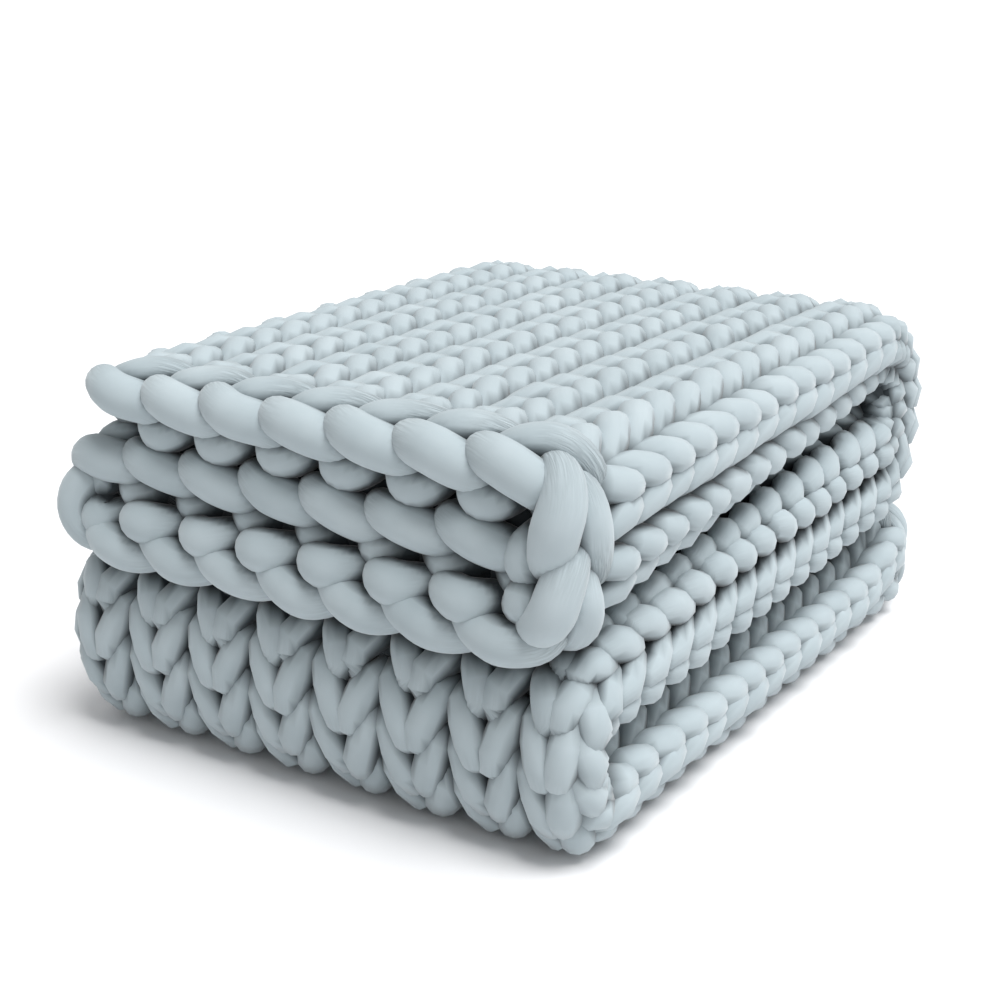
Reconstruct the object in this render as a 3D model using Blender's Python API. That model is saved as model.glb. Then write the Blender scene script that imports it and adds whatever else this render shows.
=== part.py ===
"""Folded chunky-knit weighted blanket, in metres, +Z up.

The blanket is one knitted mat. Its width is folded in three, the last panel tucked inside, and the
strip that this makes is folded in three again, back and forth along its length. It lies on z = 0
with its bound-off end towards -Y and its main side fold towards +X. The mat is drawn flat, at the
level of its yarn's crests, and every vertex is then carried through both folds.
"""

import bmesh
import bpy
import numpy as np

# Folded size
WIDTH = 0.430
DEPTH = 0.545
HEIGHT = 0.268

# Heights of the three sections. The top one is lofty at its open end and thin at its turn.
TOP_STACK_OPEN = 0.124
TOP_STACK_TURN = 0.070
BOTTOM_STACK = 0.067
CAST_ON_LIFT = 0.028
LIFT_LENGTH = 0.095
SECTION_GAP = 0.003

# The mat. Its thickness is a share of the height of the three layers it is folded in.
MAT_WIDTH = 1.22
MAT_SHARE = 0.30
SIDE_RADIUS = 0.021
TOP_EDGE_INSET = 0.040

# Turns, along the length. A flatness is a turn's reach over its half height.
BACK_TURN_FLATNESS = 0.78
FRONT_TURN_FLATNESS = 0.52
MEASURED_AT = 0.85

# The bound-off end: its three layers end at slightly different places, and it hangs a little over
# the front turn
END_DROOP = 0.028
DROOP_LENGTH = 0.045
TOP_LAYER_RECESS = 0.006
MIDDLE_LAYER_RECESS = 0.012
CAST_ON_RECESS = 0.004

# Rim of the mat
RIM_WIDTH = 0.012
RIM_THICKNESS = 0.6

# Stations between the marks of the mat, in order along it
PANEL_STATIONS = 7
SIDE_FOLD_STATIONS = 11
INNER_FOLD_STATIONS = 8
DROOP_STATIONS = 4
SECTION_STATIONS = 9
TURN_STATIONS = 12
REACH_SAMPLES = 41

COLOUR = (0.41, 0.49, 0.52, 1.0)
ROUGHNESS = 0.85


def smooth_step(value):
    """0 before 0, 1 after 1, and an even ease between them."""
    clipped = np.clip(value, 0.0, 1.0)
    return clipped * clipped * (3.0 - 2.0 * clipped)


class PanelFold:
    """The mat across the strip, folded in three within a stack of a given height."""

    def __init__(self, stack):
        self.stack = stack
        self.thickness = MAT_SHARE * stack
        self.pitch = (stack - self.thickness) / 2
        self.low = self.thickness / 2
        self.radius = np.minimum(SIDE_RADIUS, self.pitch)
        self.start = -WIDTH / 2 + TOP_EDGE_INSET
        self.right = WIDTH / 2 - self.low - self.radius
        self.left = -WIDTH / 2 + self.low + self.pitch / 2
        quarter = np.pi / 2 * self.radius
        upright = 2.0 * (self.pitch - self.radius)
        runs = [self.right - self.start, quarter, upright, quarter, self.right - self.left]
        runs.append(np.pi / 2 * self.pitch)
        self.marks = [np.zeros_like(stack)]
        for run in runs:
            self.marks.append(self.marks[-1] + run)

    def place(self, across, out):
        """The x and the height in the stack of a place across the mat, out from its middle line."""
        marks, radius, bend = self.marks, self.radius, self.pitch / 2
        first = (across - marks[1]) / radius
        second = (across - marks[3]) / radius
        inner = (across - marks[5]) / bend
        high = self.stack - self.low
        spots = [
            (self.start + across, high, 0.0 * across, 1.0),
            (self.right + radius * np.sin(first), high - radius * (1.0 - np.cos(first)),
             np.sin(first), np.cos(first)),
            (self.right + radius, high - radius - (across - marks[2]), 1.0, 0.0 * across),
            (self.right + radius * np.cos(second), self.low + radius * (1.0 - np.sin(second)),
             np.cos(second), -np.sin(second)),
            (self.right - (across - marks[4]), self.low, 0.0 * across, -1.0),
            (self.left - bend * np.sin(inner), self.low + bend * (1.0 - np.cos(inner)),
             -np.sin(inner), -np.cos(inner)),
            (self.left + (across - marks[6]), self.low + self.pitch, 0.0 * across, 1.0),
        ]
        run = sum(np.where(across > mark, 1, 0) for mark in marks[1:])
        x, height, out_x, out_z = (
            np.choose(run, [np.broadcast_to(spot[i], run.shape) for spot in spots]) for i in range(4)
        )
        return x + out * out_x, height + out * out_z


class StripFold:
    """The back and forth fold of the strip: top section, back turn, middle, front turn, bottom."""

    def __init__(self):
        self.low_gap = BOTTOM_STACK + SECTION_GAP / 2
        self.open_gap = HEIGHT - TOP_STACK_OPEN - SECTION_GAP / 2
        self.turn_gap = HEIGHT - TOP_STACK_TURN - SECTION_GAP / 2
        self.front = -DEPTH / 2
        self.middle_back = self.turn_gap - self.low_gap - SECTION_GAP
        self.middle_front = self.open_gap - self.low_gap - SECTION_GAP
        back_reach = self.turn_reach(TOP_STACK_TURN, self.middle_back, BACK_TURN_FLATNESS)
        front_reach = self.turn_reach(self.middle_front, BOTTOM_STACK, FRONT_TURN_FLATNESS)
        self.back_start = DEPTH / 2 - back_reach
        self.front_start = self.front + front_reach
        lengths = [
            self.back_start - self.front,
            self.turn_length(TOP_STACK_TURN, self.middle_back, BACK_TURN_FLATNESS),
            self.back_start - self.front_start,
            self.turn_length(self.middle_front, BOTTOM_STACK, FRONT_TURN_FLATNESS),
            DEPTH / 2 - CAST_ON_RECESS - self.front_start,
        ]
        self.marks = np.cumsum([0.0] + lengths)
        self.length = self.marks[-1]

    @staticmethod
    def turn_reach(start, end, flatness):
        """How far a turn bulges, from the height of its stack at each end."""
        share = np.linspace(0.0, 1.0, REACH_SAMPLES)
        stack = start + (end - start) * smooth_step(share)
        return float(np.max(flatness * (SECTION_GAP / 2 + stack) * np.sin(np.pi * share)))

    @staticmethod
    def turn_length(start, end, flatness):
        """The mat's length round a turn, measured near its outer layer."""
        return np.pi * MEASURED_AT * (start + end) / 2 * np.sqrt((1.0 + flatness**2) / 2.0)

    def gap_height(self, y):
        """The height of the gap under the top section, which rises towards the back turn."""
        share = np.clip((y - self.front) / (self.back_start - self.front), 0.0, 1.0)
        return self.open_gap + (self.turn_gap - self.open_gap) * share

    def parts(self, along):
        """The part of the fold that each place is in, and its shares of the two turns."""
        back = np.clip((along - self.marks[1]) / (self.marks[2] - self.marks[1]), 0.0, 1.0)
        front = np.clip((along - self.marks[3]) / (self.marks[4] - self.marks[3]), 0.0, 1.0)
        part = sum(np.where(along > mark, 1, 0) for mark in self.marks[1:5])
        return part, back, front

    def flat_y(self, along, part):
        """Where a place lies along Y in the three flat sections."""
        top = self.front + along
        middle = self.back_start - (along - self.marks[2])
        bottom = self.front_start + (along - self.marks[4])
        return np.choose(part, [top, top, middle, middle, bottom])

    def stack(self, along):
        """The height of the three layers at a distance along the strip."""
        part, back, front = self.parts(along)
        y = self.flat_y(along, part)
        gap = self.gap_height(y)
        lift = CAST_ON_LIFT * smooth_step(1.0 - (self.length - along) / LIFT_LENGTH)
        back_stack = TOP_STACK_TURN + (self.middle_back - TOP_STACK_TURN) * smooth_step(back)
        front_stack = self.middle_front + (BOTTOM_STACK - self.middle_front) * smooth_step(front)
        middle_stack = gap - self.low_gap - SECTION_GAP
        return np.choose(part, [HEIGHT - gap - SECTION_GAP / 2, back_stack, middle_stack,
                                front_stack, BOTTOM_STACK + lift])

    def end_droop(self, height, along):
        """How far the bound-off end hangs down at a height in its stack, most in its lowest layer."""
        nearness = np.clip(1.0 - along / DROOP_LENGTH, 0.0, 1.0)
        return END_DROOP * nearness**2 * (1.0 - height / self.stack(along))

    def place(self, height, along):
        """The y and z of a height in the stack at a distance along the strip."""
        part, back, front = self.parts(along)
        y = self.flat_y(along, part)
        gap = self.gap_height(y)
        over_back = SECTION_GAP / 2 + height
        over_front = SECTION_GAP / 2 + self.stack(along) - height
        y_back = self.back_start + BACK_TURN_FLATNESS * over_back * np.sin(np.pi * back)
        z_back = self.turn_gap + over_back * np.cos(np.pi * back)
        y_front = self.front_start - FRONT_TURN_FLATNESS * over_front * np.sin(np.pi * front)
        z_front = self.low_gap + over_front * np.cos(np.pi * front)
        y = np.choose(part, [y, y_back, y, y_front, y])
        z_top = gap + over_back - self.end_droop(height, along)
        z = np.choose(part, [z_top, z_back, gap - over_back, z_front, height])
        return y, z


def stations(marks, counts):
    """Evenly spaced stations in each stretch between marks, with extra ones beside both rims."""
    inner = [np.linspace(a, b, n, endpoint=False) for a, b, n in zip(marks, marks[1:], counts)]
    ends = [marks[0] + RIM_WIDTH / 3, marks[0] + RIM_WIDTH, marks[-1] - RIM_WIDTH]
    return np.unique(np.concatenate(inner + [ends, [marks[-1] - RIM_WIDTH / 3, marks[-1]]]))


def blanket_stations():
    """The mat's stations across its width and along its length."""
    strip = StripFold()
    panels = PanelFold(np.array(TOP_STACK_OPEN))
    across = [panels.marks[0], panels.marks[1], panels.marks[4], panels.marks[5], panels.marks[6]]
    across.append(MAT_WIDTH)
    folds = [PANEL_STATIONS, SIDE_FOLD_STATIONS, PANEL_STATIONS, INNER_FOLD_STATIONS, PANEL_STATIONS]
    along = [strip.marks[0], DROOP_LENGTH, *strip.marks[1:]]
    turns = [SECTION_STATIONS, TURN_STATIONS, SECTION_STATIONS, TURN_STATIONS, SECTION_STATIONS]
    return stations(across, folds), stations(along, [DROOP_STATIONS, *turns])


def rim_share(place, length):
    """The share of its full thickness that the mat has at a place, less beside its two ends."""
    inward = np.clip(np.minimum(place, length - place) / RIM_WIDTH, 0.0, 1.0)
    return RIM_THICKNESS + (1.0 - RIM_THICKNESS) * np.sqrt(1.0 - (1.0 - inward) ** 2)


def layer_recess(across, along, panels, strip):
    """How far back the bound-off end of each layer lies, easing out along the top section."""
    marks = panels.marks
    top = 1.0 - smooth_step((across - marks[1]) / (marks[4] - marks[1]))
    middle = smooth_step((across - marks[5]) / (marks[6] - marks[5]))
    recess = TOP_LAYER_RECESS * top + MIDDLE_LAYER_RECESS * middle
    return recess * (1.0 - np.clip(along / strip.marks[1], 0.0, 1.0))


def fold_mat(flat, columns, rows):
    """The place of every vertex of the flat sheet once both folds are made."""
    strip = StripFold()
    across, along = columns[flat[:, 0].astype(int)], rows[flat[:, 1].astype(int)]
    panels = PanelFold(strip.stack(along))
    rim = rim_share(across, MAT_WIDTH) * rim_share(along, strip.length)
    x, height = panels.place(across, (flat[:, 2] - 0.5) * panels.thickness * rim)
    y, z = strip.place(height, along)
    return np.stack([x, y + layer_recess(across, along, panels, strip), z], axis=1)


def flat_mat(rows, columns):
    """A bmesh sheet of the mat's two faces and its rim, with its stations as whole numbers."""
    mesh = bmesh.new()
    bmesh.ops.create_grid(mesh, x_segments=columns - 1, y_segments=rows - 1, size=0.5)
    for vert in mesh.verts:
        vert.co.x = round((vert.co.x + 0.5) * (columns - 1))
        vert.co.y = round((vert.co.y + 0.5) * (rows - 1))
    inner_face = bmesh.ops.extrude_face_region(mesh, geom=mesh.faces[:])
    moved = [item for item in inner_face["geom"] if isinstance(item, bmesh.types.BMVert)]
    bmesh.ops.translate(mesh, verts=moved, vec=(0.0, 0.0, 1.0))
    bmesh.ops.recalc_face_normals(mesh, faces=mesh.faces[:])
    return mesh


def knit_material():
    """The blue-grey jersey of the yarn."""
    material = bpy.data.materials.new("knitted_jersey")
    material.use_nodes = True
    shader = material.node_tree.nodes["Principled BSDF"]
    shader.inputs["Base Color"].default_value = COLOUR
    shader.inputs["Roughness"].default_value = ROUGHNESS
    shader.inputs["Metallic"].default_value = 0.0
    return material


def knitted_blanket(collection):
    """The whole blanket, one closed body."""
    columns, rows = blanket_stations()
    sheet = flat_mat(len(rows), len(columns))
    mesh = bpy.data.meshes.new("knitted_blanket")
    sheet.to_mesh(mesh)
    sheet.free()
    flat = np.empty(len(mesh.vertices) * 3)
    mesh.vertices.foreach_get("co", flat)
    mesh.vertices.foreach_set("co", fold_mat(flat.reshape(-1, 3), columns, rows).ravel())
    mesh.materials.append(knit_material())
    mesh.shade_smooth()
    blanket = bpy.data.objects.new("knitted_blanket", mesh)
    collection.objects.link(blanket)
    return blanket


def main():
    """Clears the scene and builds the blanket in its own collection."""
    for item in list(bpy.data.objects):
        bpy.data.objects.remove(item, do_unlink=True)
    collection = bpy.data.collections.new("weighted_blanket")
    bpy.context.scene.collection.children.link(collection)
    knitted_blanket(collection)


main()
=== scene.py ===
"""Looks of the folded chunky-knit weighted blanket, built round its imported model, in metres, +Z up.

The blanket is knitted in plain stocking stitch from a stuffed jersey tube. Every course is drawn as
the yarn really runs, as loops in a flat mat, and its middle line is then carried through the same
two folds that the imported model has.
"""

import logging
import math
from dataclasses import dataclass, field, fields
from typing import Optional, Union

import bpy
import numpy as np
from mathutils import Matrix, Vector


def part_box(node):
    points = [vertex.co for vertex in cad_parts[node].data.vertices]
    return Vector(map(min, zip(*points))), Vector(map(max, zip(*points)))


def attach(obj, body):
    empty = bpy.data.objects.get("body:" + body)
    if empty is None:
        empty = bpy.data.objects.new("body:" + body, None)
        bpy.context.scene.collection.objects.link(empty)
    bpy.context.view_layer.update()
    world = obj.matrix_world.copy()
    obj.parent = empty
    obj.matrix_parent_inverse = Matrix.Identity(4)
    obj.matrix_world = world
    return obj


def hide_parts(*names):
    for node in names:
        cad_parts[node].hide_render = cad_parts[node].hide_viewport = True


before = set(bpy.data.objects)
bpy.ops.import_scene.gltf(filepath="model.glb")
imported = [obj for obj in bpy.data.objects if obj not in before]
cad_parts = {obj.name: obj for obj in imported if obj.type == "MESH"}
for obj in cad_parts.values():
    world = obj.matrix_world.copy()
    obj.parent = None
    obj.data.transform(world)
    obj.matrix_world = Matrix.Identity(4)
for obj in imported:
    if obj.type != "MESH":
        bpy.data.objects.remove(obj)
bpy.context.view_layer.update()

log = logging.getLogger("blanket")
Array = np.ndarray
NODE = "knitted_blanket"
FAR_BEFORE, FAR_BEYOND = -1.0, 9.0
BOUND_OFF_PLACE = 0.015
CAST_ON_INSET = 0.012
CAST_ON_SIZE = 0.72


def smooth_step(value: Array) -> Array:
    """0 before 0, 1 after 1, and an even ease between them."""
    clipped = np.clip(value, 0.0, 1.0)
    return clipped * clipped * (3.0 - 2.0 * clipped)


def unit(vectors: Array) -> Array:
    """Each row of an array scaled to length 1."""
    return vectors / np.maximum(np.linalg.norm(vectors, axis=-1, keepdims=True), 1e-12)


def smooth_path(points: Array, steps: int) -> Array:
    """A smooth curve through a list of points.

    Args:
        points: One row for each point, of any number of values.
        steps: The number of places from each point to the next.

    Returns:
        One row of the same values for each place.
    """
    padded = np.concatenate([2 * points[:1] - points[1:2], points, 2 * points[-1:] - points[-2:-1]])
    a, b, c, d = (padded[i : len(padded) - 3 + i, None] for i in range(4))
    share = (np.arange(steps) / steps)[None, :, None]
    curve = 2 * b + (c - a) * share + (2 * a - 5 * b + 4 * c - d) * share**2
    curve = (curve + (3 * b - a - 3 * c + d) * share**3) / 2
    return np.concatenate([curve.reshape(-1, points.shape[1]), points[-1:]])


# --------------------------------------------------------------------------------------- the folds


@dataclass
class Folds:
    """Both folds of the mat: in three across its width, then back and forth along its length."""

    width: float
    depth: float
    height: float
    top_stack_open: float = 0.124
    top_stack_turn: float = 0.070
    bottom_stack: float = 0.067
    cast_on_lift: float = 0.028
    lift_length: float = 0.095
    section_gap: float = 0.003
    mat_width: float = 1.22
    mat_share: float = 0.30
    side_radius: float = 0.021
    edge_inset: float = 0.040
    back_flatness: float = 0.78
    front_flatness: float = 0.52
    measured_at: float = 0.85
    end_droop: float = 0.028
    droop_length: float = 0.045
    cast_on_recess: float = 0.004
    top_recess: float = 0.006
    middle_recess: float = 0.012
    turn_samples: int = 41
    fold_limit: float = 0.85
    end_shown: float = 0.05
    cast_on_shown: float = 0.06
    turn_hidden: float = 0.02
    shown_ease: float = 0.03

    def __post_init__(self) -> None:
        """Works out where the strip's sections and turns begin and end."""
        half_gap = self.section_gap / 2
        self.low_gap = self.bottom_stack + half_gap
        self.open_gap = self.height - self.top_stack_open - half_gap
        self.turn_gap = self.height - self.top_stack_turn - half_gap
        self.front = -self.depth / 2
        self.middle_back = self.turn_gap - self.low_gap - self.section_gap
        self.middle_front = self.open_gap - self.low_gap - self.section_gap
        back = (self.top_stack_turn, self.middle_back, self.back_flatness)
        front = (self.middle_front, self.bottom_stack, self.front_flatness)
        self.back_start = self.depth / 2 - self.turn_reach(*back)
        self.front_start = self.front + self.turn_reach(*front)
        lengths = [
            self.back_start - self.front,
            self.turn_length(*back),
            self.back_start - self.front_start,
            self.turn_length(*front),
            self.depth / 2 - self.cast_on_recess - self.front_start,
        ]
        self.marks = np.cumsum([0.0] + lengths)
        self.length = float(self.marks[-1])

    def turn_reach(self, start: float, end: float, flatness: float) -> float:
        """How far a turn bulges, from the height of its stack at each end."""
        share = np.linspace(0.0, 1.0, self.turn_samples)
        stack = start + (end - start) * smooth_step(share)
        return float(np.max(flatness * (self.section_gap / 2 + stack) * np.sin(np.pi * share)))

    def turn_length(self, start: float, end: float, flatness: float) -> float:
        """The mat's length round a turn, measured near its outer layer."""
        return np.pi * self.measured_at * (start + end) / 2 * math.sqrt((1.0 + flatness**2) / 2.0)

    def gap_height(self, y: Array) -> Array:
        """The height of the gap under the top section, which rises towards the back turn."""
        share = np.clip((y - self.front) / (self.back_start - self.front), 0.0, 1.0)
        return self.open_gap + (self.turn_gap - self.open_gap) * share

    def parts(self, along: Array) -> tuple[Array, Array, Array]:
        """The part of the fold that each place is in, and its shares of the two turns."""
        marks = self.marks
        back = np.clip((along - marks[1]) / (marks[2] - marks[1]), 0.0, 1.0)
        front = np.clip((along - marks[3]) / (marks[4] - marks[3]), 0.0, 1.0)
        return sum(np.where(along > mark, 1, 0) for mark in marks[1:5]), back, front

    def flat_y(self, along: Array, part: Array) -> Array:
        """Where a place lies along Y in the three flat sections."""
        top = self.front + along
        middle = self.back_start - (along - self.marks[2])
        bottom = self.front_start + (along - self.marks[4])
        return np.choose(part, [top, top, middle, middle, bottom])

    def stack(self, along: Array) -> Array:
        """The height of the three layers at a distance along the strip."""
        part, back, front = self.parts(along)
        gap = self.gap_height(self.flat_y(along, part))
        lift = self.cast_on_lift * smooth_step(1.0 - (self.length - along) / self.lift_length)
        back_stack = self.top_stack_turn
        back_stack = back_stack + (self.middle_back - back_stack) * smooth_step(back)
        front_stack = self.middle_front
        front_stack = front_stack + (self.bottom_stack - front_stack) * smooth_step(front)
        top = self.height - gap - self.section_gap / 2
        middle = gap - self.low_gap - self.section_gap
        return np.choose(part, [top, back_stack, middle, front_stack, self.bottom_stack + lift])

    def strip(self, height: Array, along: Array, stack: Array) -> tuple[Array, Array]:
        """The y and z of a height in the stack at a distance along the strip."""
        part, back, front = self.parts(along)
        y = self.flat_y(along, part)
        gap = self.gap_height(y)
        over_back = self.section_gap / 2 + height
        over_front = self.section_gap / 2 + stack - height
        y_back = self.back_start + self.back_flatness * over_back * np.sin(np.pi * back)
        z_back = self.turn_gap + over_back * np.cos(np.pi * back)
        y_front = self.front_start - self.front_flatness * over_front * np.sin(np.pi * front)
        z_front = self.low_gap + over_front * np.cos(np.pi * front)
        nearness = np.clip(1.0 - along / self.droop_length, 0.0, 1.0)
        z_top = gap + over_back - self.end_droop * nearness**2 * (1.0 - height / stack)
        y = np.choose(part, [y, y_back, y, y_front, y])
        z = np.choose(part, [z_top, z_back, gap - over_back, z_front, height])
        return y, z

    def panel_marks(self, stack: Array) -> list[Array]:
        """Where the panels and side folds begin across the mat, in a stack of a given height."""
        pitch = stack * (1.0 - self.mat_share) / 2
        low = stack * self.mat_share / 2
        radius = np.minimum(self.side_radius, pitch)
        right = self.width / 2 - low - radius
        left = -self.width / 2 + low + pitch / 2
        quarter = np.pi / 2 * radius
        runs = [right + self.width / 2 - self.edge_inset, quarter, 2.0 * (pitch - radius), quarter]
        runs += [right - left, np.pi / 2 * pitch]
        marks = [np.zeros_like(stack)]
        for run in runs:
            marks.append(marks[-1] + run)
        return marks

    def panel(self, across: Array, out: Array, stack: Array) -> tuple[Array, Array]:
        """The x and the height in the stack of a place across the mat, out from its middle line."""
        pitch = stack * (1.0 - self.mat_share) / 2
        bend = pitch / 2
        low = stack * self.mat_share / 2
        radius = np.minimum(self.side_radius, pitch)
        right = self.width / 2 - low - radius
        left = -self.width / 2 + low + bend
        marks = self.panel_marks(stack)
        high = stack - low
        first = (across - marks[1]) / radius
        second = (across - marks[3]) / radius
        inner = (across - marks[5]) / bend
        zero, one = 0.0 * across, 1.0 + 0.0 * across
        spots = [
            (self.edge_inset - self.width / 2 + across, high, zero, one),
            (right + radius * np.sin(first), high - radius * (1.0 - np.cos(first)),
             np.sin(first), np.cos(first)),
            (right + radius, high - radius - (across - marks[2]), one, zero),
            (right + radius * np.cos(second), low + radius * (1.0 - np.sin(second)),
             np.cos(second), -np.sin(second)),
            (right - (across - marks[4]), low, zero, -one),
            (left - bend * np.sin(inner), low + bend * (1.0 - np.cos(inner)),
             -np.sin(inner), -np.cos(inner)),
            (left + (across - marks[6]), low + pitch, zero, one),
        ]
        run = sum(np.where(across > mark, 1, 0) for mark in marks[1:])
        x, height, out_x, out_z = (
            np.choose(run, [np.broadcast_to(spot[i], run.shape) for spot in spots]) for i in range(4)
        )
        return x + out * out_x, height + out * out_z

    def depth_limit(self, across: Array, along: Array) -> Array:
        """How deep in a middle line may lie without passing the centre of a side fold."""
        stack = self.stack(np.clip(along, 0.0, self.length))
        marks = self.panel_marks(stack)
        pitch = stack * (1.0 - self.mat_share) / 2
        half = stack * self.mat_share / 2
        side = half + self.fold_limit * np.minimum(self.side_radius, pitch)
        inner = half + self.fold_limit * pitch / 2
        in_side = (across > marks[1]) & (across < marks[4])
        in_inner = (across > marks[5]) & (across < marks[6])
        return np.where(in_side, side, np.where(in_inner, inner, 1.0))

    def shown(self, across: Array, along: Array) -> Array:
        """1 where the yarn can be seen from outside the folded blanket, 0 where it is pressed within."""
        marks = self.panel_marks(self.stack(np.clip(along, 0.0, self.length)))
        strip, soft = self.marks, self.shown_ease

        def within(place: Array, start: Array, end: Array) -> Array:
            """1 from a start to an end, easing to 0 beyond them."""
            return smooth_step(1.0 + (place - start) / soft) * smooth_step(1.0 + (end - place) / soft)

        front = within(along, FAR_BEFORE, self.end_shown)
        back = within(along, self.length - self.cast_on_shown, FAR_BEYOND)
        side, inner = within(across, marks[1], marks[4]), within(across, marks[5], marks[6])
        first = within(across, FAR_BEFORE, marks[1])
        first = first * within(along, FAR_BEFORE, strip[2] - self.turn_hidden)
        low = within(across, marks[4], marks[5])
        low = low * within(along, strip[3] + self.turn_hidden, FAR_BEYOND)
        return np.maximum.reduce([front, back, side, inner, first, low])

    def turn_press(self, along: Array) -> Array:
        """How much less room the layers have in the two turns, which are flatter than half rounds."""
        _, back, front = self.parts(np.clip(along, 0.0, self.length))
        back = 1.0 - (1.0 - self.back_flatness) * np.sin(np.pi * back)
        return back * (1.0 - (1.0 - self.front_flatness) * np.sin(np.pi * front))

    def place(self, across: Array, along: Array, depth: Array) -> Array:
        """Carries places of the flat mat through both folds.

        Args:
            across: Distance across the mat from its free edge in the top layer.
            along: Distance along the mat from its bound-off end.
            depth: Distance in from the crests of the knit.

        Returns:
            One x, y, z row for each place.
        """
        clipped = np.clip(along, 0.0, self.length)
        stack = self.stack(clipped)
        x, height = self.panel(across, self.mat_share * stack / 2 - depth, stack)
        y, z = self.strip(height, clipped, stack)
        marks = self.panel_marks(stack)
        top = 1.0 - smooth_step((across - marks[1]) / (marks[4] - marks[1]))
        middle = smooth_step((across - marks[5]) / (marks[6] - marks[5]))
        recess = self.top_recess * top + self.middle_recess * middle
        y = y + recess * (1.0 - np.clip(along / self.marks[1], 0.0, 1.0)) + (along - clipped)
        return np.stack([x, y, z], axis=-1)


# ------------------------------------------------------------------------------------- the knitting


@dataclass
class Gauge:
    """How many stitches lie where: the wales across the mat and the courses along it."""

    folds: Folds
    wale: float = 0.0525
    course: float = 0.0315
    side_gain: float = 0.22
    inner_gain: float = 0.35
    turn_gain: float = 0.16
    bound_off_rim: float = 0.022
    cast_on_rim: float = 0.014
    across_samples: int = 1201
    along_samples: int = 1801
    bend_ease: float = 0.25

    def __post_init__(self) -> None:
        """Counts the wales and courses, which lie closer where the mat bends."""
        marks = [float(m) for m in self.folds.panel_marks(np.array(self.folds.top_stack_open))]
        across = np.linspace(0.0, self.folds.mat_width, self.across_samples)
        side = self.bump(across, marks[1], marks[4]) * self.side_gain
        inner = self.bump(across, marks[5], marks[6]) * self.inner_gain
        rate = (1.0 + side + inner) / self.wale
        self.across, self.wale_count = across, np.cumsum(rate) * across[1]
        last = self.folds.length - self.cast_on_rim
        along = np.linspace(self.bound_off_rim, last, self.along_samples)
        turn = self.bump(along, self.folds.marks[1], self.folds.marks[2]) * self.turn_gain
        self.along = along
        self.course_count = np.cumsum((1.0 + turn) / self.course) * (along[1] - along[0])
        self.wales = int(round(self.wale_count[-1]))
        self.courses = int(round(self.course_count[-1]))
        self.wale_count *= self.wales / self.wale_count[-1]
        self.course_count *= self.courses / self.course_count[-1]

    def bump(self, place: Array, start: float, end: float) -> Array:
        """1 within a stretch and 0 outside it, with soft ends."""
        soft = self.bend_ease * (end - start)
        rise = smooth_step((place - start + soft) / (2 * soft))
        return rise * smooth_step((end + soft - place) / (2 * soft))

    def across_at(self, count: Array) -> Array:
        """The distance across the mat at a count of wales, carried on evenly past both edges."""
        over = np.maximum(count - self.wales, 0.0) + np.minimum(count, 0.0)
        return np.interp(count, self.wale_count, self.across) + over * self.wale

    def along_at(self, count: Array) -> Array:
        """The distance along the mat at a count of courses, carried on evenly past both ends."""
        over = np.maximum(count - self.courses, 0.0) + np.minimum(count, 0.0)
        return np.interp(count, self.course_count, self.along) + over * self.course


@dataclass
class Strand:
    """A length of the yarn in the flat mat.

    It has its middle line in counts of wales and courses and metres in from the crests, its radius,
    its height as a share of its width, how far it is pinched, and its tone.
    """

    wales: Array
    courses: Array
    depth: Array
    radius: Array
    flat: Array
    pinch: Array
    tone: Array


@dataclass
class LoopShape:
    """The shape of one stocking stitch, in shares of a wale and a course or in metres.

    Fields that end in _vary are the sizes of the differences from stitch to stitch.
    """

    half_height: float = 0.83
    sway: float = 0.272
    lift: float = 0.0104
    lean: float = 2.0
    leg_radius: float = 0.0128
    head_radius: float = 0.0066
    flat: float = 0.95
    crest: float = 1.55
    end_flat: float = 1.25
    fine_steps: int = 28
    coarse_steps: int = 12
    head_density: float = 0.45
    squeezed_sway: float = 0.6
    squeezed_radius: float = 0.45
    taper: float = 2.4
    head_side: float = 0.22
    end_flat_taper: float = 1.2
    pinch_reach: float = 1.12
    sway_vary: float = 0.012
    wale_vary: float = 0.018
    height_vary: float = 0.03
    course_vary: float = 0.05
    depth_vary: float = 0.0008
    radius_vary: float = 0.035

    def row(self, course: float, turns: Array, squeeze: Array, rng: np.random.Generator) -> Strand:
        """One course of stitches as one strand.

        Args:
            course: The count of courses at the middle of the loops.
            turns: Positions along the row, where each stitch takes up one whole number.
            squeeze: The width of a wale at each of them, as a share of its width in the flat mat.
            rng: The source of the small differences between stitches.

        Returns:
            The strand, in counts of wales and courses.
        """
        angle = 2.0 * np.pi * turns
        count = int(math.ceil(turns[-1])) * 2 + 2
        knots = np.arange(count) * 0.5

        def vary(size: float) -> Array:
            """Small differences from leg to leg, even along the row."""
            return np.interp(turns, knots, rng.normal(0.0, size, count))

        rise, side = np.cos(angle), np.abs(np.sin(angle))
        sway = self.sway * squeeze**self.squeezed_sway + vary(self.sway_vary)
        wales = turns + sway * np.sin(2.0 * angle) + vary(self.wale_vary)
        reach = rise * (1.5 - 0.5 * rise**2)
        courses = course + (self.half_height + vary(self.height_vary)) * reach
        courses = courses + vary(self.course_vary)
        front = -np.cos(2.0 * angle)
        front = front * (1.5 - 0.5 * front**2)
        swell = self.lift * (front + self.lean * rise * side)
        depth = self.leg_radius * self.flat + self.lift * self.crest - swell
        depth = depth + vary(self.depth_vary)
        fullness = side**self.taper * (1.0 + self.head_side * rise)
        radius = self.head_radius + (self.leg_radius - self.head_radius) * fullness
        radius = radius * squeeze**self.squeezed_radius * (1.0 + vary(self.radius_vary))
        flat = self.flat + (self.end_flat - self.flat) * (1.0 - side) ** self.end_flat_taper
        pinch = np.clip(1.0 - side * self.pinch_reach, 0.0, 1.0)
        return Strand(wales, courses, depth, radius, flat, pinch, vary(1.0))


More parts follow.
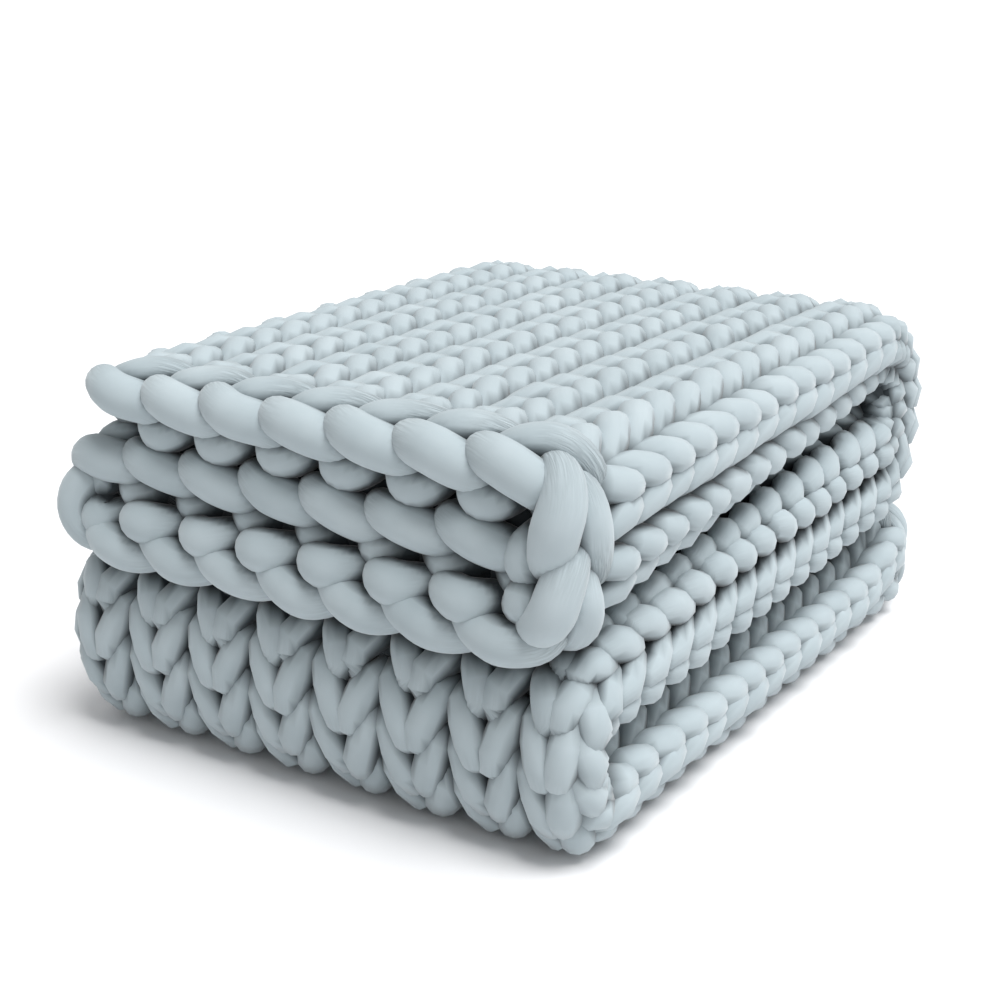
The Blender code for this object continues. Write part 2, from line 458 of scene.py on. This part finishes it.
@dataclass
class TubeMesh:
    """Vertices, faces and yarn-space values of one or more closed tubes."""

    sides: int = 12
    ease: float = 0.0025
    yarn_radius: float = 0.0135
    yarn_shift: float = 0.01
    filling_at: float = 0.7
    points: list[Array] = field(default_factory=list)
    quads: list[Array] = field(default_factory=list)
    caps: list[Array] = field(default_factory=list)
    yarn: list[Array] = field(default_factory=list)
    pinch: list[Array] = field(default_factory=list)
    tone: list[Array] = field(default_factory=list)
    outward: list[Array] = field(default_factory=list)
    filling: list[Array] = field(default_factory=list)
    volume: list[Array] = field(default_factory=list)
    occlusion: Array = field(default_factory=lambda: np.zeros(0))
    total: int = 0

    @staticmethod
    def carried(tangent: Array, start: Array) -> Array:
        """A direction beside a line, carried along it with no twist."""
        beside = unit(np.cross(tangent, start))
        for index in range(1, len(tangent)):
            last, here = beside[index - 1], tangent[index]
            beside[index] = unit(last - here * np.dot(last, here))
        return beside

    def rested(self, height: Array) -> Array:
        """Heights eased to the ground, so that the yarn lies flat where it touches."""
        over = height / self.ease
        return self.ease * np.where(over > 1.0, over, np.exp(np.minimum(over, 1.0) - 1.0))

    def sweep(self, middle: Array, normal: Array, strand: Strand, free: bool = False) -> None:
        """Adds one closed tube round a middle line.

        Args:
            middle: The points of the middle line.
            normal: The way out of the knit at each of them.
            strand: The strand that it is the middle line of.
            free: Whether the tube's sides run on with no twist, and don't follow the normal.
        """
        tangent = unit(np.gradient(middle, axis=0))
        beside = self.carried(tangent, normal) if free else unit(np.cross(tangent, normal))
        above = np.cross(beside, tangent)
        turn = np.linspace(0.0, 2.0 * np.pi, self.sides, endpoint=False)
        cos, sin = np.cos(turn)[None, :, None], np.sin(turn)[None, :, None]
        wide = strand.radius[:, None, None]
        high = wide * strand.flat[:, None, None]
        way = sin * beside[:, None] + cos * above[:, None]
        ring = middle[:, None] + wide * sin * beside[:, None] + high * cos * above[:, None]
        ring[..., 2] = self.rested(ring[..., 2])
        count = len(middle)
        run = np.concatenate([[0.0], np.cumsum(np.linalg.norm(np.diff(middle, axis=0), axis=1))])
        yarn = np.empty((count, self.sides, 3))
        yarn[..., 0] = self.yarn_radius * np.cos(turn)
        yarn[..., 1] = self.yarn_radius * np.sin(turn)
        yarn[..., 2] = run[:, None] + self.total * self.yarn_shift
        first = self.total + np.arange(count - 1)[:, None] * self.sides + np.arange(self.sides)
        step = np.roll(np.arange(self.sides), -1) - np.arange(self.sides)
        corners = [first + self.sides, first + step + self.sides, first + step, first]
        self.quads.append(np.stack(corners, axis=-1).reshape(-1, 4))
        start = self.total + np.arange(self.sides)
        self.caps.append(start)
        self.caps.append((start + (count - 1) * self.sides)[::-1])
        self.points.append(ring.reshape(-1, 3))
        self.yarn.append(yarn.reshape(-1, 3))
        self.pinch.append(np.repeat(strand.pinch, self.sides))
        self.tone.append(np.repeat(strand.tone, self.sides))
        self.outward.append(way.reshape(-1, 3))
        inside = middle[:, None] + self.filling_at * (ring - middle[:, None])
        self.filling.append(inside.reshape(-1, 3))
        slices = np.pi * strand.radius**2 * strand.flat * np.gradient(run) / self.sides
        self.volume.append(np.repeat(slices, self.sides))
        self.total += count * self.sides

    def to_object(self, name: str, material: bpy.types.Material) -> bpy.types.Object:
        """Makes the mesh object and puts it in the scene."""
        points, quads, caps = np.concatenate(self.points), np.concatenate(self.quads), self.caps
        corners = np.concatenate([quads.ravel(), np.concatenate(caps)])
        sizes = np.concatenate([np.full(len(quads), 4), [len(cap) for cap in caps]])
        mesh = bpy.data.meshes.new(name)
        mesh.vertices.add(len(points))
        mesh.vertices.foreach_set("co", points.astype(np.float32).ravel())
        mesh.loops.add(len(corners))
        mesh.loops.foreach_set("vertex_index", corners.astype(np.int32))
        mesh.polygons.add(len(sizes))
        starts = np.concatenate([[0], np.cumsum(sizes)[:-1]])
        mesh.polygons.foreach_set("loop_start", starts.astype(np.int32))
        mesh.update(calc_edges=True)
        mesh.validate()
        mesh.shade_smooth()
        space = mesh.attributes.new("yarn", "FLOAT_VECTOR", "POINT")
        space.data.foreach_set("vector", np.concatenate(self.yarn).astype(np.float32).ravel())
        # The occlusion values go to the material, which paints them into the colour as shade.
        for key, values in (("pinch", self.pinch), ("tone", self.tone), ("occlusion", [self.occlusion])):
            layer = mesh.attributes.new(key, "FLOAT", "POINT")
            layer.data.foreach_set("value", np.concatenate(values).astype(np.float32))
        mesh.materials.append(material)
        piece = bpy.data.objects.new(name, mesh)
        bpy.context.scene.collection.objects.link(piece)
        return piece


@dataclass
class Closeness:
    """How deep among its neighbours each place on the yarn lies, from a grid of how full space is; the
    material paints this in as shade, standing in for ambient occlusion.
    """

    cell: float = 0.004
    margin: float = 0.06
    reach: float = 0.009
    blur_cells: int = 2
    open_share: float = 0.22
    closed_share: float = 0.70

    def blurred(self, grid: Array) -> Array:
        """A grid averaged over its near cells, twice along each axis."""
        offsets = range(-self.blur_cells, self.blur_cells + 1)
        for axis in (0, 1, 2, 0, 1, 2):
            grid = sum(np.roll(grid, offset, axis) for offset in offsets) / len(offsets)
        return grid

    @staticmethod
    def sample(grid: Array, places: Array) -> Array:
        """The grid's values at places given in cells, even between cells."""
        base = np.floor(places).astype(int)
        part = places - base
        total = np.zeros(len(places))
        for corner in np.ndindex(2, 2, 2):
            weight = np.prod(np.where(np.array(corner) == 1, part, 1.0 - part), axis=1)
            total += weight * grid[tuple((base + np.array(corner)).T)]
        return total

    def measure(self, meshes: list[TubeMesh]) -> None:
        """Gives each mesh its occlusion values, from 0 in the open to 1 deep among its neighbours, which
        the material paints in as shade.
        """
        spots = np.concatenate([part for mesh in meshes for part in mesh.filling])
        volume = np.concatenate([part for mesh in meshes for part in mesh.volume])
        low = spots.min(axis=0) - self.margin
        shape = tuple(np.ceil((spots.max(axis=0) + self.margin - low) / self.cell).astype(int))
        index = np.round((spots - low) / self.cell).astype(int)
        grid = np.bincount(np.ravel_multi_index(tuple(index.T), shape), volume, int(np.prod(shape)))
        grid = self.blurred(grid.reshape(shape) / self.cell**3)
        for mesh in meshes:
            places = np.concatenate(mesh.points) + self.reach * np.concatenate(mesh.outward)
            fullness = self.sample(grid, (places - low) / self.cell)
            share = (fullness - self.open_share) / (self.closed_share - self.open_share)
            mesh.occlusion = smooth_step(share)


@dataclass
class Knitting:
    """The knitted mat: its courses as loops of yarn, carried through the folds."""

    folds: Folds
    gauge: Gauge
    loop: LoopShape
    seed: int = 7
    natural_thickness: float = 0.050
    selvage_reach: float = 0.18
    selvage_depth: float = 0.026
    selvage_radius: float = 0.0118
    selvage_end: float = 0.75
    selvage_steps: int = 7
    selvage_overlap: float = 1.3
    selvage_inset: float = 0.97
    tuck: float = 0.45
    spare_room: float = 1.17
    least_room: float = 0.75
    hidden_radius: float = 0.8
    way_step: float = 0.002
    end_margin: float = 0.10
    top_margin: float = 0.01
    turn_margin: float = 0.02
    side_margin: float = 0.05
    left_margin: float = 0.06

    def fold_strand(self, strand: Strand, mesh: TubeMesh) -> None:
        """Carries a strand through the folds and adds its tube to a mesh."""
        across = self.gauge.across_at(strand.wales)
        along = self.gauge.along_at(strand.courses)
        thickness = self.folds.mat_share * self.folds.stack(np.clip(along, 0.0, self.folds.length))
        first = self.loop.leg_radius * self.loop.flat
        room = (self.spare_room * thickness - first) / (self.natural_thickness - first)
        room = np.clip(room, self.least_room, 1.0)
        depth = np.where(strand.depth > first, first + (strand.depth - first) * room, strand.depth)
        depth = np.minimum(depth, self.folds.depth_limit(across, along))
        shown = self.folds.shown(across, along)
        press = thickness * self.folds.turn_press(along) / self.natural_thickness
        depth = depth * shown + strand.depth * press * (1.0 - shown)
        strand.flat = strand.flat * (shown + press * (1.0 - shown))
        strand.radius = strand.radius * (shown + self.hidden_radius * (1.0 - shown))
        middle = self.folds.place(across, along, depth)
        outside = self.folds.place(across, along, depth - self.way_step)
        mesh.sweep(middle, unit(outside - middle), strand)

    def selvage(self, strand: Strand, course: int) -> Strand:
        """Adds the arcs that join a course to the next at one edge and to the last at the other."""
        values = np.stack([getattr(strand, item.name) for item in fields(strand)])
        angle = np.linspace(np.pi / 2, 0.0, self.selvage_steps)[:-1]
        out = np.concatenate([[self.selvage_inset], np.sin(angle)])
        onward = np.concatenate([[self.selvage_overlap], 1.0 - np.cos(angle)])
        way = 1.0 if course % 2 == 0 else -1.0
        arcs = []
        for end, side in ((0, -1.0), (-1, 1.0)):
            arc = np.repeat(values[:, [end]], len(out), axis=1)
            arc[0] += side * self.selvage_reach * out
            arc[1] -= side * way * 0.5 * onward
            arc[2] += (self.selvage_depth - arc[2]) * out
            arc[3] += (self.selvage_radius - arc[3]) * out
            arc[3, 0] *= self.selvage_end
            arc[5] *= 1.0 - np.sqrt(out)
            arcs.append(arc)
        return Strand(*np.concatenate([arcs[0], values, arcs[1][:, ::-1]], axis=1))

    def tucked(self, courses: Array) -> Array:
        """Counts of courses drawn in at both ends of the mat, so that the chains cover the heads."""
        last = self.gauge.courses - 0.5
        before, after = np.maximum(0.5 - courses, 0.0), np.maximum(courses - last, 0.0)
        return courses + self.tuck * (before - after)

    def turns(self, course: int) -> Array:
        """Where the samples of a course lie, closer together where its loops can be seen."""
        place = float(self.gauge.along_at(np.array(course + 0.5)))
        marks = [float(m) for m in self.folds.panel_marks(self.folds.stack(np.array(place)))]
        strip, beside, left_of = self.folds.marks, self.side_margin, self.left_margin
        edge = min(place, self.folds.length - place) < self.end_margin
        in_top, in_back = place < strip[1] + self.top_margin, strip[1] < place < strip[2]
        in_front = strip[3] - self.turn_margin < place < strip[4] + self.turn_margin
        stops = [0.0]
        for wale in range(self.gauge.wales):
            across = float(self.gauge.across_at(np.array(wale + 0.5)))
            top = across < marks[1] and (in_top or in_back)
            side = marks[1] - beside < across < marks[4] + beside
            left = marks[5] - left_of < across < marks[6] + left_of or across < left_of
            low = marks[4] <= across <= marks[5] and in_front
            seen = edge or top or side or left or low
            steps = self.loop.fine_steps if seen else self.loop.coarse_steps
            stops.extend(wale + (np.arange(steps) + 1.0) / steps)
        even = np.array(stops)
        return even - self.loop.head_density * np.sin(4.0 * np.pi * even) / (4.0 * np.pi)

    def section(self, first: int, last: int) -> TubeMesh:
        """The tubes of the courses from first up to last."""
        mesh = TubeMesh()
        for course in range(first, last):
            rng = np.random.default_rng([self.seed, course])
            turns = self.turns(course)
            squeeze = np.gradient(self.gauge.across_at(turns), turns) / self.gauge.wale
            strand = self.loop.row(course + 0.5, turns, squeeze, rng)
            strand.courses = self.tucked(strand.courses)
            self.fold_strand(self.selvage(strand, course), mesh)
        return mesh

    def build(self) -> dict[str, TubeMesh]:
        """All the courses, in one named mesh for each part of the fold."""
        counts = [float(np.interp(m, self.gauge.along, self.gauge.course_count))
                  for m in self.folds.marks]
        names = ["knit_top", "knit_back_turn", "knit_middle", "knit_front_turn", "knit_bottom"]
        stops = [int(round(count)) for count in counts]
        return {name: self.section(*ends) for name, *ends in zip(names, stops, stops[1:])}


@dataclass
class EdgeChain:
    """The chain of links that ends the knitting, one link to a wale, in one strand.

    Each link leaves the middle of the rim, runs along its outer side, turns back behind the next
    link, returns over the crest side, and loops once on the back of the mat. Its points give wales
    along the rim, metres out of the rim, metres towards the crests, radius and how far it is pinched.
    """

    folds: Folds
    gauge: Gauge
    place: float
    outward: float
    size: float = 1.0
    low_twist: float = 0.50
    low_press: float = 0.25
    bent_press: float = 0.6
    twist_reach: float = 0.03
    bent_reach: float = 0.02
    way_step: float = 0.002
    wale_vary: float = 0.012
    place_vary: float = 0.0007
    radius_vary: float = 0.02
    sunk: float = 0.56
    drawn_in: float = 0.05
    heart: float = 0.010
    steps: int = 6
    sides: int = 18
    seed: int = 11
    link: tuple = (
        (-0.20, -0.004, 0.003, 0.0085, 0.9),
        (0.02, 0.011, 0.008, 0.0128, 0.3),
        (0.40, 0.018, 0.005, 0.0146, 0.0),
        (0.80, 0.014, -0.001, 0.0140, 0.0),
        (1.10, 0.003, -0.007, 0.0110, 0.5),
        (1.28, -0.010, -0.003, 0.0082, 1.0),
        (1.20, -0.014, 0.008, 0.0098, 0.9),
        (0.85, -0.008, 0.013, 0.0128, 0.3),
        (0.42, 0.000, 0.012, 0.0128, 0.0),
        (0.05, -0.004, 0.004, 0.0090, 0.8),
        (0.32, -0.016, -0.006, 0.0075, 0.8),
        (0.68, -0.002, -0.013, 0.0122, 0.2),
        (1.00, 0.008, -0.0200, 0.0146, 0.0),
        (1.32, -0.002, -0.013, 0.0122, 0.2),
        (1.10, -0.016, -0.006, 0.0075, 0.8),
    )

    def twist(self, across: Array, marks: list[Array]) -> Array:
        """How far the links lean towards the crests, which is most in the lowest layer."""
        after = smooth_step((across - marks[3]) / (marks[4] + self.twist_reach - marks[3]))
        beyond = smooth_step((across - marks[5]) / (marks[6] - marks[5]))
        return self.low_twist * after * (1.0 - beyond)

    def bent(self, across: Array, marks: list[Array]) -> Array:
        """1 in the inner side fold, where the back of the mat has little room, and 0 elsewhere."""
        start = smooth_step((across - marks[5] + self.bent_reach) / self.bent_reach)
        return start * (1.0 - smooth_step((across - marks[6]) / self.bent_reach))

    def path(self) -> Array:
        """The places of the whole strand, with small differences between links."""
        rng = np.random.default_rng(self.seed)
        rows = []
        for wale in range(self.gauge.wales):
            points = np.array(self.link)
            count = len(points)
            points[:, 0] += wale + rng.normal(0.0, self.wale_vary, count)
            moved = rng.normal(0.0, self.place_vary, (count, 2))
            points[:, 1:3] = points[:, 1:3] * self.size + moved
            points[:, 3] *= self.size * (1.0 + rng.normal(0.0, self.radius_vary))
            rows.append(np.column_stack([points, np.full(count, rng.normal())]))
        return smooth_path(np.concatenate(rows), self.steps)

    def build(self) -> TubeMesh:
        """The chain's tube."""
        wales, out, crest, radius, pinch, tone = self.path().T
        across = self.gauge.across_at(wales)
        along = np.full_like(across, self.place)
        stack = self.folds.stack(along)
        depth = self.folds.mat_share * stack * self.sunk
        rim = self.folds.place(across, along, depth)
        crestward = unit(self.folds.place(across, along, depth - self.way_step) - rim)
        rim[:, 0] *= 1.0 - self.drawn_in
        outward = np.array([0.0, self.outward, 0.0])
        marks = self.folds.panel_marks(stack)
        lean = self.twist(across, marks)
        room = 1.0 - self.bent_press * self.bent(across, marks)
        room = room * (1.0 - self.low_press * lean / self.low_twist)
        crest = np.where(crest < 0.0, crest * room, crest)
        over = out * np.cos(lean) - crest * np.sin(lean)
        up = out * np.sin(lean) + crest * np.cos(lean)
        offset = over[:, None] * outward + up[:, None] * crestward
        round_through = np.ones_like(radius)
        pinch = np.clip(pinch, 0.0, 1.0)
        strand = Strand(wales, along, depth, radius, round_through, pinch, tone)
        mesh = TubeMesh(sides=self.sides)
        mesh.sweep(rim + offset, unit(offset + self.heart * outward), strand, free=True)
        return mesh


# -------------------------------------------------------------------------------------- the finish


class Value:
    """A socket's value in a material, with the usual arithmetic as Math nodes."""

    def __init__(self, graph: "Graph", socket: bpy.types.NodeSocket) -> None:
        """Wraps an output socket of a graph."""
        self.graph, self.socket = graph, socket

    def math(self, operation: str, *others: "Number") -> "Value":
        """One Math node on this value and the others."""
        values = {index + 1: other for index, other in enumerate(others)}
        values[0] = self
        return self.graph.node("ShaderNodeMath", {"operation": operation}, values)

    def __add__(self, other: "Number") -> "Value":
        """This value plus another."""
        return self.math("ADD", other)

    __radd__ = __add__

    def __mul__(self, other: "Number") -> "Value":
        """This value times another."""
        return self.math("MULTIPLY", other)

    __rmul__ = __mul__

    def __sub__(self, other: "Number") -> "Value":
        """This value less another."""
        return self.math("SUBTRACT", other)

    def __rsub__(self, other: "Number") -> "Value":
        """Another less this value."""
        return self * -1.0 + other

    def __abs__(self) -> "Value":
        """This value without its sign."""
        return self.math("ABSOLUTE")


Number = Union[Value, float]


class Graph:
    """The node tree of one material or of the world."""

    def __init__(self, owner: Union[bpy.types.Material, bpy.types.World]) -> None:
        """Clears its nodes."""
        owner.use_nodes = True
        self.tree = owner.node_tree
        self.tree.nodes.clear()

    def node(
        self, kind: str, settings: dict, values: dict, output: Union[int, str] = 0
    ) -> Optional[Value]:
        """Adds a node.

        Args:
            kind: The node's type.
            settings: Its own settings, which are set first.
            values: A number, colour or wrapped value for each socket's name or number.
            output: The output that is wanted.

        Returns:
            That output, wrapped, or nothing for a node that has none.
        """
        node = self.tree.nodes.new(kind)
        for key, value in settings.items():
            setattr(node, key, value)
        for key, value in values.items():
            if isinstance(value, Value):
                self.tree.links.new(value.socket, node.inputs[key])
            else:
                node.inputs[key].default_value = value
        return Value(self, node.outputs[output]) if node.outputs else None


@dataclass(frozen=True)
class JerseyFinish:
    """Matt, finely ribbed jersey over a stuffed tube, with gathers where it is pinched, and painted
    shade in the gathers and deep among the yarn.
    """

    light: tuple = (0.440, 0.503, 0.530, 1.0)
    dark: tuple = (0.352, 0.414, 0.441, 1.0)
    # The near-black colour of the painted shade, standing in for the shadow in the gathers and between
    # strands.
    painted_shade_colour: tuple = (0.018, 0.025, 0.030, 1.0)
    roughness: float = 0.82
    sheen: float = 0.25
    sheen_roughness: float = 0.45
    specular: float = 0.25
    rib_scale: float = 900.0
    rib_height: float = 0.02
    gather_scale: float = 420.0
    gather_stretch: float = 9.0
    gather_sharpness: float = 3.0
    gather_height: float = 1.0
    # How far the gathers' colour is darkened by painted shade.
    gather_shade: float = 0.65
    mottle_scale: float = 45.0
    mottle_height: float = 0.3
    strand_tone: float = 0.10
    tone_shift: float = -0.15
    # How far the colour is darkened by painted occlusion shade where the yarn lies deep among other
    # yarn.
    occlusion_shade: float = 0.95
    bump_strength: float = 0.6
    bump_distance: float = 0.0012

    @staticmethod
    def noise(graph: Graph, vector: Value, scale: float, detail: float) -> Value:
        """A solid noise texture."""
        values = {"Vector": vector, "Scale": scale, "Detail": detail}
        return graph.node("ShaderNodeTexNoise", {"noise_dimensions": "3D"}, values)

    @staticmethod
    def carried(graph: Graph, name: str) -> Value:
        """One of the yarn's own values, which its mesh carries."""
        return graph.node("ShaderNodeAttribute", {"attribute_name": name}, {}, "Fac")

    def build(self) -> bpy.types.Material:
        """Makes the material."""
        material = bpy.data.materials.new("knitted_jersey_yarn")
        graph = Graph(material)
        yarn = graph.node("ShaderNodeAttribute", {"attribute_name": "yarn"}, {}, "Vector")
        pinch, tone, occlusion = (self.carried(graph, name) for name in ("pinch", "tone", "occlusion"))
        stretch = {"Vector": yarn, "Scale": (1.0, 1.0, self.gather_stretch)}
        length = graph.node("ShaderNodeMapping", {"vector_type": "TEXTURE"}, stretch, "Vector")
        gather = self.noise(graph, length, self.gather_scale, 2.0)
        ridges = 1.0 - abs(gather * 2.0 - 1.0) * self.gather_sharpness
        rib = self.noise(graph, length, self.rib_scale, 1.0)
        mottle = self.noise(graph, yarn, self.mottle_scale, 2.0)
        share = mottle + tone * self.strand_tone + self.tone_shift
        colour = graph.node("ShaderNodeMix", {"data_type": "RGBA"},
                            {0: share, 6: self.dark, 7: self.light}, 2)
        folds = pinch * ridges
        # Painted shade: how far the colour is darkened, in the gathers and where the yarn lies deep
        # among other yarn.
        shade = (folds.math("MAXIMUM", 0.0) * self.gather_shade).math(
            "MAXIMUM", occlusion * self.occlusion_shade
        )
        colour = graph.node("ShaderNodeMix", {"data_type": "RGBA"},
                            {0: shade, 6: colour, 7: self.painted_shade_colour}, 2)
        height = rib * self.rib_height + mottle * self.mottle_height - folds * self.gather_height
        normal = graph.node("ShaderNodeBump", {}, {
            "Height": height, "Strength": self.bump_strength, "Distance": self.bump_distance,
        })
        shader = graph.node("ShaderNodeBsdfPrincipled", {}, {
            "Base Color": colour, "Roughness": self.roughness, "Normal": normal,
            "Sheen Weight": self.sheen, "Sheen Roughness": self.sheen_roughness,
            "Specular IOR Level": self.specular,
        })
        graph.node("ShaderNodeOutputMaterial", {}, {"Surface": shader})
        return material


# -------------------------------------------------------------------------------------- the studio


@dataclass
class Studio:
    """A pale floor, soft light from above and behind, and the camera."""

    camera_place: tuple = (0.6466, -1.0343, 0.5271)
    azimuth: float = 33.0
    pitch: float = 18.07
    focal: float = 1.700
    dim_side: float = 0.20
    bright_side: float = 0.92
    bright_from: tuple = (0.62, 0.62, 0.48)
    key_power: float = 3.1
    key_spread: float = 32.0
    key_from: tuple = (0.36, -0.04, 1.0)
    floor_reach: float = 40.0
    floor_colour: tuple = (0.80, 0.80, 0.81, 1.0)
    floor_roughness: float = 0.9
    floor_specular: float = 0.1

    def floor(self) -> None:
        """A wide pale floor."""
        mesh = bpy.data.meshes.new("floor")
        reach = self.floor_reach
        corners = [(-reach, -reach, 0), (reach, -reach, 0), (reach, reach, 0), (-reach, reach, 0)]
        mesh.from_pydata(corners, [], [(0, 1, 2, 3)])
        floor = bpy.data.objects.new("floor", mesh)
        bpy.context.scene.collection.objects.link(floor)
        material = bpy.data.materials.new("pale_floor")
        graph = Graph(material)
        shader = graph.node("ShaderNodeBsdfPrincipled", {}, {
            "Base Color": self.floor_colour, "Roughness": self.floor_roughness,
            "Specular IOR Level": self.floor_specular,
        })
        graph.node("ShaderNodeOutputMaterial", {}, {"Surface": shader})
        mesh.materials.append(material)

    def lights(self) -> None:
        """A wide soft lamp high up behind the side fold, and a bright even surround."""
        world = bpy.data.worlds.new("surround")
        bpy.context.scene.world = world
        graph = Graph(world)
        way = graph.node("ShaderNodeTexCoord", {}, {}, "Generated")
        side = graph.node("ShaderNodeVectorMath", {"operation": "DOT_PRODUCT"},
                          {0: way, 1: self.bright_from}, "Value")
        middle = (self.bright_side + self.dim_side) / 2
        strength = side * (self.bright_side - middle) + middle
        values = {"Color": (1.0, 1.0, 1.0, 1.0), "Strength": strength}
        shader = graph.node("ShaderNodeBackground", {}, values)
        graph.node("ShaderNodeOutputWorld", {}, {"Surface": shader})
        data = bpy.data.lights.new("key", "SUN")
        data.angle, data.energy = math.radians(self.key_spread), self.key_power
        lamp = bpy.data.objects.new("key", data)
        lamp.rotation_euler = Vector(self.key_from).to_track_quat("Z", "Y").to_euler()
        bpy.context.scene.collection.objects.link(lamp)

    def camera(self) -> None:
        """The camera, turned by its azimuth and pitched down."""
        data = bpy.data.cameras.new("camera")
        data.lens = self.focal * data.sensor_width
        camera = bpy.data.objects.new("camera", data)
        turn, tilt = math.radians(self.azimuth), math.radians(self.pitch)
        camera.location = self.camera_place
        camera.rotation_euler = (math.pi / 2 - tilt, 0.0, turn)
        bpy.context.scene.collection.objects.link(camera)
        bpy.context.scene.camera = camera


def main() -> None:
    """Builds the blanket, its light and its camera."""
    logging.basicConfig(level=logging.INFO, format="%(name)s: %(message)s")
    studio = Studio()
    studio.camera()
    studio.floor()
    studio.lights()
    bpy.context.scene.view_settings.view_transform = "Standard"
    low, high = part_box(NODE)
    folds = Folds(*(high - low))
    gauge = Gauge(folds)
    log.info("%d wales, %d courses", gauge.wales, gauge.courses)
    jersey = JerseyFinish().build()
    meshes = Knitting(folds, gauge, LoopShape()).build()
    meshes["bound_off_chain"] = EdgeChain(folds, gauge, BOUND_OFF_PLACE, -1.0).build()
    cast_on = EdgeChain(folds, gauge, folds.length - CAST_ON_INSET, 1.0, size=CAST_ON_SIZE)
    meshes["cast_on_chain"] = cast_on.build()
    # How deep each place lies among the yarn, for the painted occlusion shade.
    Closeness().measure(list(meshes.values()))
    for name, mesh in meshes.items():
        piece = mesh.to_object(name, jersey)
        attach(piece, "root")
        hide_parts(NODE)
        triangles = sum(len(face.vertices) - 2 for face in piece.data.polygons)
        log.info("%s: %d triangles", piece.name, triangles)


if __name__ == "__main__":
    main()
